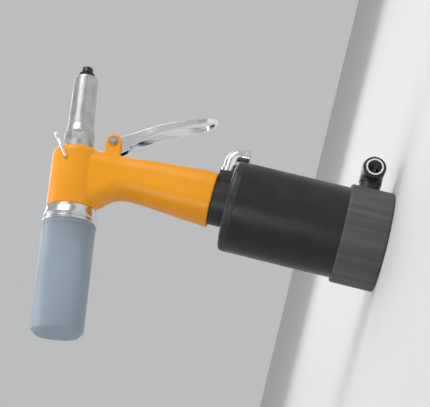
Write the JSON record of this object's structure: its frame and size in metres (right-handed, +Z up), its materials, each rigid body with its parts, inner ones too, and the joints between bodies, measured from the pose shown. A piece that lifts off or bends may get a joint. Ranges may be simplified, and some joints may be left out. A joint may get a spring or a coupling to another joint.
{
  "type": "hand riveter",
  "caption": "Air-hydraulic blind riveter: tilted barrel with nose and pin bottle, lever handle, air cylinder below, swivel air inlet in the base.",
  "frame": {"origin": "centre of the boot's flat underside, on the air cylinder's axis", "axes": "+Z up the air cylinder and handle, +Y to the nose's side, +X to the tool's right, where the inlet's port points"},
  "size_m": [0.0824, 0.2369, 0.2881],
  "materials": {
    "orange_paint": "satin orange-yellow enamel on a light alloy casting",
    "nickel_steel": "satin nickel plate",
    "dark_steel": "black oxide, lightly oiled",
    "bright_collar": "turned, bright",
    "chrome_plate": "bright chrome plate",
    "gloss_black": "gloss black enamel",
    "black_alloy": "satin black",
    "boot_rubber": "matte dark grey",
    "bottle_plastic": "translucent, frosted",
    "inner_steel": "ground",
    "inner_alloy": "machined",
    "spring_steel": "wire",
    "bronze": "plain bush",
    "seal_rubber": "smooth"
  },
  "bodies": {
    "frame": {"frame_casting": "orange_paint", "nose_sleeve": "nickel_steel", "nosepiece": "dark_steel", "rod_gland": "bronze", "rear_collar": "bright_collar", "bottle_seal": "seal_rubber", "return_spring": "spring_steel", "oil_screw": "dark_steel", "oil_washer": "bronze", "ram_packing": "bronze", "packing_nut": "inner_alloy", "transfer_tube": "chrome_plate", "valve_sleeve": "bronze", "valve_spring": "spring_steel", "cylinder_head": "black_alloy", "riser_tube": "inner_steel", "cylinder_nut": "inner_steel", "cylinder_tube": "gloss_black", "tube_seals": "seal_rubber", "base_plate": "inner_alloy", "base_boot": "boot_rubber", "base_screws": "dark_steel", "inlet_stem": "black_alloy", "swivel_clip": "dark_steel", "trigger_pin": "inner_steel", "pin_clips": "spring_steel"},
    "pull_head": {"pull_piston": "inner_steel", "pull_piston_seal": "seal_rubber", "jaw_lock_nut": "inner_steel", "jaw_case": "inner_steel", "jaws": "dark_steel", "jaw_pusher": "inner_steel", "jaw_spring": "spring_steel"},
    "ram": {"air_piston": "inner_alloy", "air_piston_seal": "seal_rubber", "ram_rod": "inner_steel", "piston_nut": "inner_steel"},
    "valve": {"valve_rod": "inner_steel", "valve_spool": "inner_steel", "spool_seal": "seal_rubber"},
    "inlet": {"swivel_body": "black_alloy", "inlet_insert": "chrome_plate"},
    "elbow": {"exhaust_elbow": "chrome_plate", "exhaust_screen": "bronze"},
    "trigger": {"trigger_lever": "chrome_plate"},
    "hanger": {"hanger_bail": "chrome_plate"},
    "bottle": {"mandrel_bottle": "bottle_plastic"}
  },
  "joints": [
    {"name": "trigger_pivot", "type": "hinge", "parent": "frame", "child": "trigger", "pos_m": [0, 0.0285, 0.237], "axis": [-1, 0, 0], "range_deg": [0, 18], "stiffness_Nm_per_rad": 1.2, "springref_deg": -14.32},
    {"name": "valve_slide", "type": "slide", "parent": "frame", "child": "valve", "axis": [0, 0, 1], "range_m": [0, 0.0056], "deforming": ["valve_spring"]},
    {"name": "ram_slide", "type": "slide", "parent": "frame", "child": "ram", "axis": [0, 0, 1], "range_m": [0, 0.062]},
    {"name": "pull_slide", "type": "slide", "parent": "frame", "child": "pull_head", "axis": [0, -0.9816, -0.1908], "range_m": [0, 0.0158], "stiffness_N_per_m": 1800, "springref_m": -0.01, "deforming": ["return_spring"]},
    {"name": "hanger_swing", "type": "hinge", "parent": "frame", "child": "hanger", "pos_m": [0, 0.00082, 0.26857], "axis": [1, 0, 0], "range_deg": [-11, 116]},
    {"name": "bottle_pull", "type": "slide", "parent": "frame", "child": "bottle", "axis": [0, -0.9816, -0.1908], "range_m": [0, 0.03]},
    {"name": "inlet_swivel", "type": "hinge", "parent": "frame", "child": "inlet", "pos_m": [0, 0.0575, 0.0206], "axis": [0, 1, 0], "continuous": true},
    {"name": "elbow_swivel", "type": "hinge", "parent": "frame", "child": "elbow", "pos_m": [0, 0.03, 0.1375], "axis": [0, 1, 0], "range_deg": [-90, 90]}
  ],
  "couplings": [
    {"joint": "valve_slide", "follows": "trigger_pivot", "m_per_rad": 0.017},
    {"joint": "pull_slide", "follows": "ram_slide", "ratio": 0.249}
  ]
}
